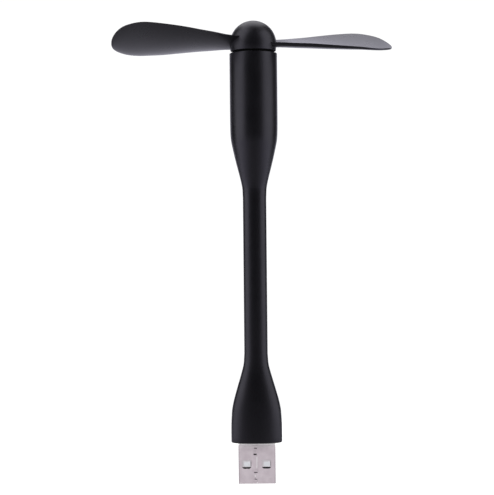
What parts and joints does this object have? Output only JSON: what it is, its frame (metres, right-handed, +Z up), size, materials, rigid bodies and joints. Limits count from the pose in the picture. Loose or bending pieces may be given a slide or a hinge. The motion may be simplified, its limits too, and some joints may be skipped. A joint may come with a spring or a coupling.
{
  "type": "usb stick fan",
  "caption": "Stick fan for a USB-A socket: plug in a flared silicone grip, slim bendable neck, round motor head and a domed propeller that blows along its axis.",
  "frame": {"origin": "centre of the plug's shoulder, where the grip's flat end meets the socket", "axes": "+Z up along the straight neck to the propeller, -Z into the socket, -Y towards the side of the plug that has the seam, +X across the plug's width"},
  "size_m": [0.091, 0.0314, 0.15],
  "materials": {
    "silicone": "matte moulded silicone with a fine even grain",
    "soft_plastic": "soft satin moulding, smooth on the blades",
    "plug_steel": "nickel-plated folded sheet, satin",
    "white_plastic": "plain moulded insulator",
    "gold_plate": "gold-plated strip, bright",
    "black_plastic": "hard moulding, fine matte",
    "copper": "soft drawn copper",
    "solder": "dull tin solder",
    "motor_steel": "zinc-plated drawn steel",
    "ferrite": "sintered ferrite, dark and matte",
    "nylon": "natural nylon",
    "bronze": "sintered and rolled bronze",
    "bright_steel": "ground bright shaft",
    "brass": "turned brass"
  },
  "bodies": {
    "base": {"base_sleeve": "silicone", "plug_core": "black_plastic", "usb_shell": "plug_steel", "usb_insulator": "white_plastic", "contact_power": "gold_plate", "contact_data_minus": "gold_plate", "contact_data_plus": "gold_plate", "contact_ground": "gold_plate", "plug_solder": "solder", "core_wire_positive": "copper", "core_wire_negative": "copper"},
    "neck_01": {"neck_slice_01": "silicone"},
    "neck_02": {"neck_slice_02": "silicone"},
    "neck_03": {"neck_slice_03": "silicone"},
    "neck_04": {"neck_slice_04": "silicone"},
    "neck_05": {"neck_slice_05": "silicone"},
    "neck_06": {"neck_slice_06": "silicone"},
    "neck_07": {"neck_slice_07": "silicone"},
    "neck_08": {"neck_slice_08": "silicone"},
    "neck_09": {"neck_slice_09": "silicone"},
    "neck_10": {"neck_slice_10": "silicone"},
    "neck_11": {"neck_slice_11": "silicone"},
    "neck_12": {"neck_slice_12": "silicone"},
    "neck_13": {"neck_slice_13": "silicone"},
    "neck_14": {"neck_slice_14": "silicone"},
    "neck_15": {"neck_slice_15": "silicone"},
    "head": {"head_sleeve": "silicone", "motor_holder": "black_plastic", "motor_cap": "black_plastic", "motor_can": "motor_steel", "motor_magnets": "ferrite", "motor_end_cap": "nylon", "front_bearing": "bronze", "rear_bearing": "bronze", "brush_positive": "bronze", "brush_negative": "bronze", "motor_solder": "solder"},
    "rotor": {"propeller": "soft_plastic", "hub_bush": "brass", "motor_shaft": "bright_steel", "rotor_core": "motor_steel", "rotor_windings": "copper", "commutator": "copper", "shaft_washers": "nylon"}
  },
  "joints": [
    {"name": "neck_tilt_1", "type": "hinge", "parent": "base", "child": "neck_01", "pos_m": [0, 0, 0.02752], "axis": [1, 0.005, 0], "range_deg": [-11.25, 11.25], "deforming": ["core_wire_negative", "core_wire_positive", "neck_slice_01"]},
    {"name": "neck_sway_1", "type": "hinge", "parent": "neck_01", "child": "neck_02", "pos_m": [0, 0, 0.03106], "axis": [-0.005, 1, 0], "range_deg": [-7.5, 7.5], "deforming": ["core_wire_negative", "core_wire_positive", "neck_slice_01", "neck_slice_02"]},
    {"name": "neck_tilt_2", "type": "hinge", "parent": "neck_02", "child": "neck_03", "pos_m": [0, 0, 0.0346], "axis": [1, 0.005, 0], "range_deg": [-11.25, 11.25], "deforming": ["core_wire_negative", "core_wire_positive", "neck_slice_02", "neck_slice_03"]},
    {"name": "neck_sway_2", "type": "hinge", "parent": "neck_03", "child": "neck_04", "pos_m": [0, 0, 0.03814], "axis": [-0.005, 1, 0], "range_deg": [-7.5, 7.5], "deforming": ["core_wire_negative", "core_wire_positive", "neck_slice_03", "neck_slice_04"]},
    {"name": "neck_tilt_3", "type": "hinge", "parent": "neck_04", "child": "neck_05", "pos_m": [0, 0, 0.04168], "axis": [1, 0.005, 0], "range_deg": [-11.25, 11.25], "deforming": ["core_wire_negative", "core_wire_positive", "neck_slice_04", "neck_slice_05"]},
    {"name": "neck_sway_3", "type": "hinge", "parent": "neck_05", "child": "neck_06", "pos_m": [0, 0, 0.04522], "axis": [-0.005, 1, 0], "range_deg": [-7.5, 7.5], "deforming": ["core_wire_negative", "core_wire_positive", "neck_slice_05", "neck_slice_06"]},
    {"name": "neck_tilt_4", "type": "hinge", "parent": "neck_06", "child": "neck_07", "pos_m": [0, 0, 0.04876], "axis": [1, 0.005, 0], "range_deg": [-11.25, 11.25], "deforming": ["core_wire_negative", "core_wire_positive", "neck_slice_06", "neck_slice_07"]},
    {"name": "neck_sway_4", "type": "hinge", "parent": "neck_07", "child": "neck_08", "pos_m": [0, 0, 0.0523], "axis": [-0.005, 1, 0], "range_deg": [-7.5, 7.5], "deforming": ["core_wire_negative", "core_wire_positive", "neck_slice_07", "neck_slice_08"]},
    {"name": "neck_tilt_5", "type": "hinge", "parent": "neck_08", "child": "neck_09", "pos_m": [0, 0, 0.05585], "axis": [1, 0.005, 0], "range_deg": [-11.25, 11.25], "deforming": ["core_wire_negative", "core_wire_positive", "neck_slice_08", "neck_slice_09"]},
    {"name": "neck_sway_5", "type": "hinge", "parent": "neck_09", "child": "neck_10", "pos_m": [0, 0, 0.05939], "axis": [-0.005, 1, 0], "range_deg": [-7.5, 7.5], "deforming": ["core_wire_negative", "core_wire_positive", "neck_slice_09", "neck_slice_10"]},
    {"name": "neck_tilt_6", "type": "hinge", "parent": "neck_10", "child": "neck_11", "pos_m": [0, 0, 0.06293], "axis": [1, 0.005, 0], "range_deg": [-11.25, 11.25], "deforming": ["core_wire_negative", "core_wire_positive", "neck_slice_10", "neck_slice_11"]},
    {"name": "neck_sway_6", "type": "hinge", "parent": "neck_11", "child": "neck_12", "pos_m": [0, 0, 0.06647], "axis": [-0.005, 1, 0], "range_deg": [-7.5, 7.5], "deforming": ["core_wire_negative", "core_wire_positive", "neck_slice_11", "neck_slice_12"]},
    {"name": "neck_tilt_7", "type": "hinge", "parent": "neck_12", "child": "neck_13", "pos_m": [0, 0, 0.07001], "axis": [1, 0.005, 0], "range_deg": [-11.25, 11.25], "deforming": ["core_wire_negative", "core_wire_positive", "neck_slice_12", "neck_slice_13"]},
    {"name": "neck_sway_7", "type": "hinge", "parent": "neck_13", "child": "neck_14", "pos_m": [0, 0, 0.07355], "axis": [-0.005, 1, 0], "range_deg": [-7.5, 7.5], "deforming": ["core_wire_negative", "core_wire_positive", "neck_slice_13", "neck_slice_14"]},
    {"name": "neck_tilt_8", "type": "hinge", "parent": "neck_14", "child": "neck_15", "pos_m": [0, 0, 0.07709], "axis": [1, 0.005, 0], "range_deg": [-11.25, 11.25], "deforming": ["core_wire_negative", "core_wire_positive", "neck_slice_14", "neck_slice_15"]},
    {"name": "neck_sway_8", "type": "hinge", "parent": "neck_15", "child": "head", "pos_m": [0, 0, 0.08063], "axis": [-0.005, 1, 0], "range_deg": [-7.5, 7.5], "deforming": ["core_wire_negative", "core_wire_positive", "neck_slice_15"]},
    {"name": "propeller_spin", "type": "hinge", "parent": "head", "child": "rotor", "pos_m": [0, 0, 0.12675], "axis": [0, 0, 1], "continuous": true}
  ],
  "couplings": [
    {"joint": "neck_tilt_2", "follows": "neck_tilt_1", "ratio": 1},
    {"joint": "neck_sway_2", "follows": "neck_sway_1", "ratio": 1},
    {"joint": "neck_tilt_3", "follows": "neck_tilt_1", "ratio": 1},
    {"joint": "neck_sway_3", "follows": "neck_sway_1", "ratio": 1},
    {"joint": "neck_tilt_4", "follows": "neck_tilt_1", "ratio": 1},
    {"joint": "neck_sway_4", "follows": "neck_sway_1", "ratio": 1},
    {"joint": "neck_tilt_5", "follows": "neck_tilt_1", "ratio": 1},
    {"joint": "neck_sway_5", "follows": "neck_sway_1", "ratio": 1},
    {"joint": "neck_tilt_6", "follows": "neck_tilt_1", "ratio": 1},
    {"joint": "neck_sway_6", "follows": "neck_sway_1", "ratio": 1},
    {"joint": "neck_tilt_7", "follows": "neck_tilt_1", "ratio": 1},
    {"joint": "neck_sway_7", "follows": "neck_sway_1", "ratio": 1},
    {"joint": "neck_tilt_8", "follows": "neck_tilt_1", "ratio": 1},
    {"joint": "neck_sway_8", "follows": "neck_sway_1", "ratio": 1}
  ]
}
